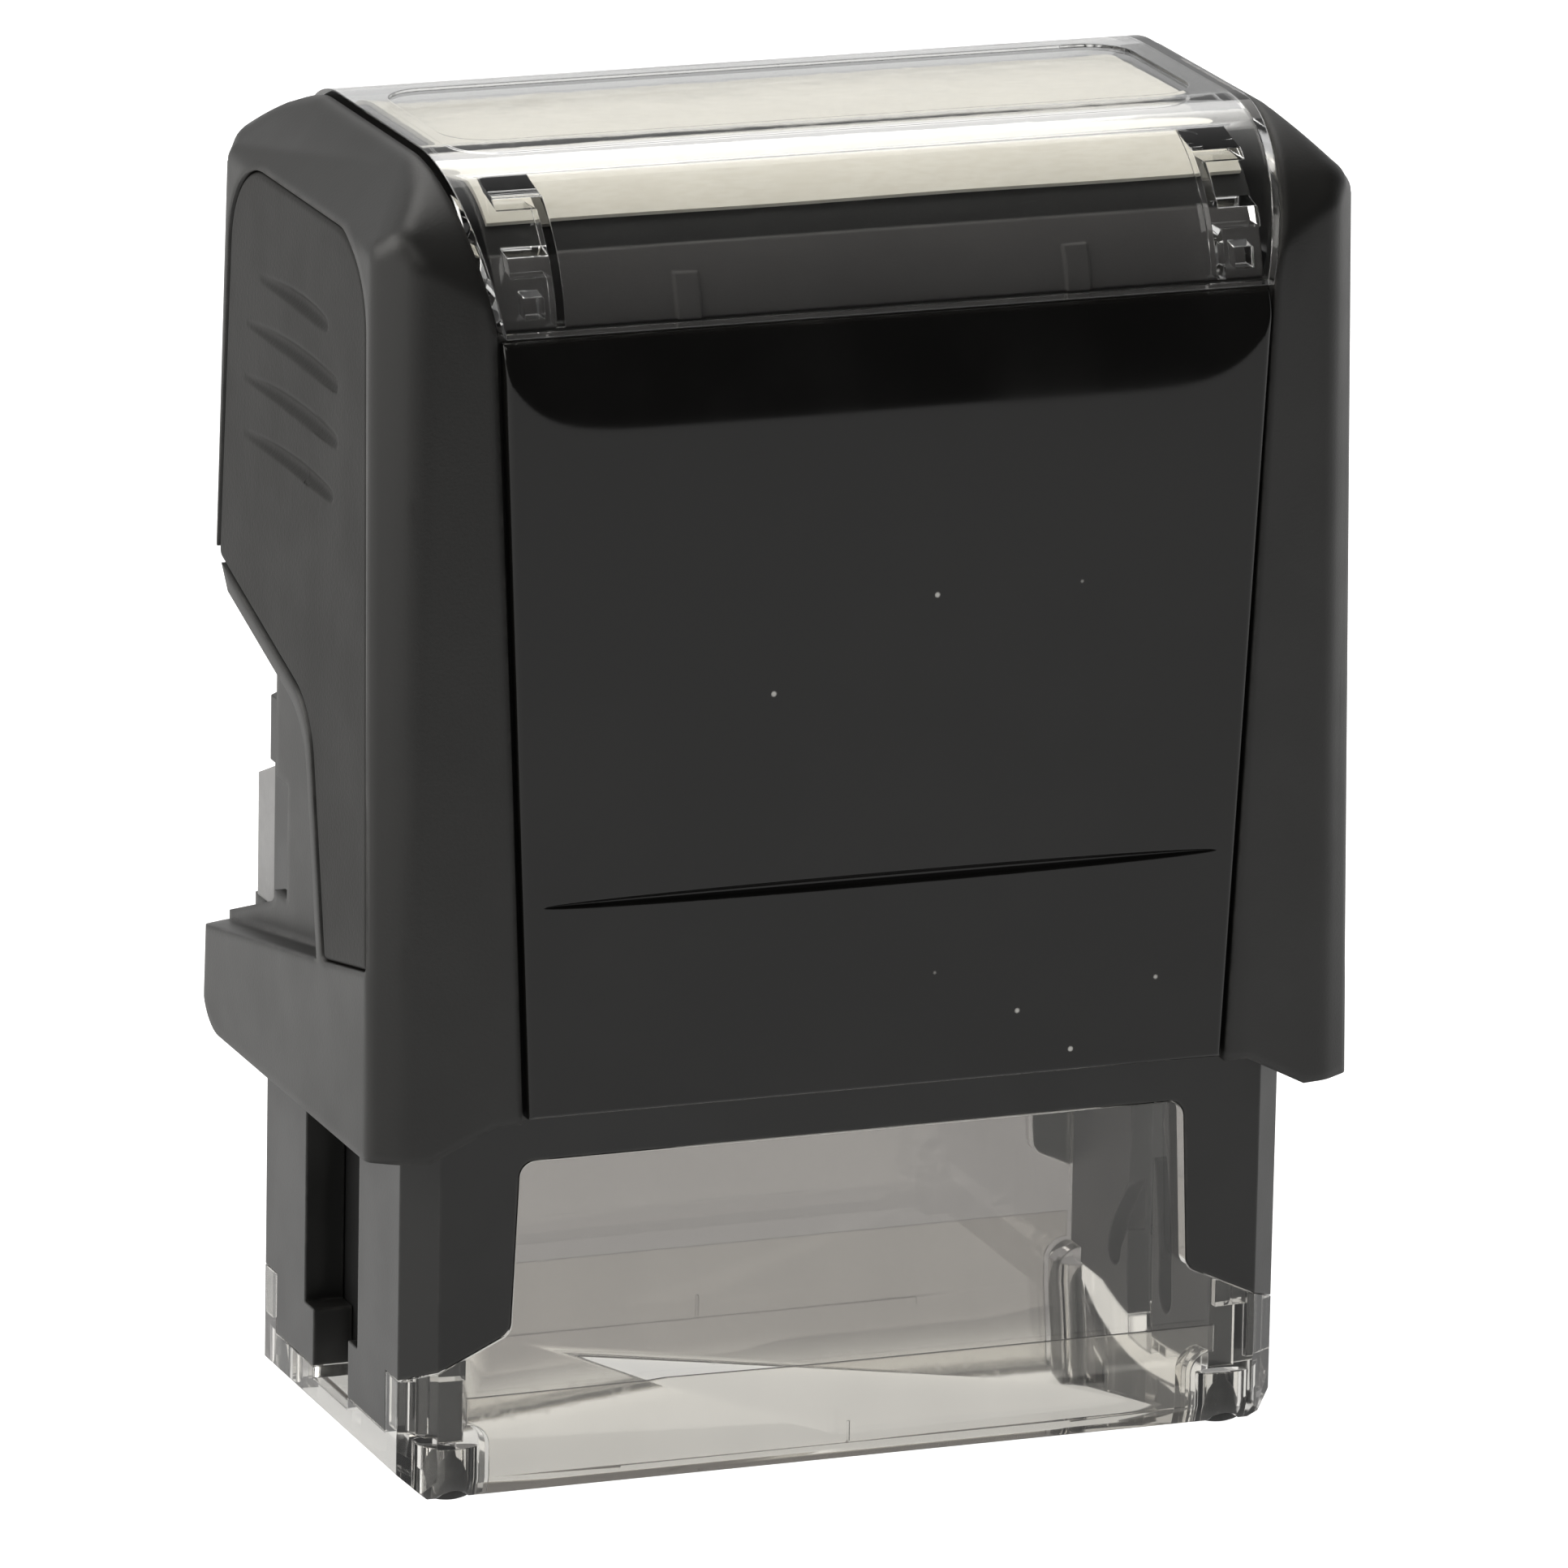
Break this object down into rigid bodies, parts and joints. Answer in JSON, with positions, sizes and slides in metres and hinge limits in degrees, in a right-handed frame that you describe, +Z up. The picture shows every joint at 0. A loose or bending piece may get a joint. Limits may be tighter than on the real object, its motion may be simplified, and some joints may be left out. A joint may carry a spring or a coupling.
{
  "type": "self-inking stamp",
  "caption": "Hand stamp whose cap presses down in its base while the text plate turns over from the ink pad to the paper.",
  "frame": {"origin": "centre of the footprint, on the surface that the rubber feet rest on", "axes": "+Z up, X along the width, front panel faces -Y"},
  "size_m": [0.0562, 0.032, 0.0734],
  "materials": {
    "frame_black": "satin moulded",
    "guide_black": "smooth moulded",
    "clear_plastic": "clear, polished",
    "dark_rubber": "matt",
    "cartridge_grey": "satin, slightly translucent",
    "ink_felt": "inked felt",
    "holder_grey": "satin moulded",
    "foam": "closed-cell foam",
    "print_rubber": "laser-cut rubber, inked on the print",
    "pin_steel": "turned",
    "spring_steel": "drawn wire",
    "cap_black": "satin moulded",
    "grip_grey": "fine matt texture",
    "gloss_black": "gloss",
    "button_grey": "satin moulded",
    "tray_black": "matt",
    "card_cream": "uncoated card",
    "window_clear": "clear, polished"
  },
  "bodies": {
    "base": {"base_frame": "frame_black", "guide_plate_left": "guide_black", "guide_plate_right": "guide_black", "clear_foot": "clear_plastic", "rubber_feet": "dark_rubber", "return_spring": "spring_steel"},
    "cap": {"cap_shell": "cap_black", "grip_left": "grip_grey", "grip_right": "grip_grey", "front_panel": "gloss_black", "rear_panel": "gloss_black", "yoke": "frame_black", "card_tray": "tray_black", "index_card": "card_cream"},
    "die": {"die_holder": "holder_grey", "die_cushion": "foam", "text_plate": "print_rubber", "axle_pin_left": "pin_steel", "axle_pin_right": "pin_steel"},
    "cartridge": {"cartridge_tray": "cartridge_grey", "ink_pad": "ink_felt"},
    "window": {"index_window": "window_clear"},
    "lock": {"lock_button": "button_grey"}
  },
  "joints": [
    {"name": "cap_slide", "type": "slide", "parent": "base", "child": "cap", "axis": [0, 0, -1], "range_m": [0, 0.0185], "stiffness_N_per_m": 300, "springref_m": -0.012, "deforming": ["return_spring"]},
    {"name": "die_flip", "type": "hinge", "parent": "cap", "child": "die", "pos_m": [0, 0, 0.0242], "axis": [1, 0, 0], "range_deg": [0, 180]},
    {"name": "cartridge_slide", "type": "slide", "parent": "base", "child": "cartridge", "axis": [0, 1, 0], "range_m": [0, 0.028]},
    {"name": "window_lift", "type": "slide", "parent": "cap", "child": "window", "axis": [0, 0, 1], "range_m": [0, 0.012]},
    {"name": "lock_press", "type": "slide", "parent": "cap", "child": "lock", "axis": [0, -1, 0], "range_m": [0, 0.001], "stiffness_N_per_m": 200, "springref_m": -0.002}
  ],
  "couplings": [
    {"joint": "die_flip", "follows": "cap_slide", "rad_per_m": 169.82}
  ]
}
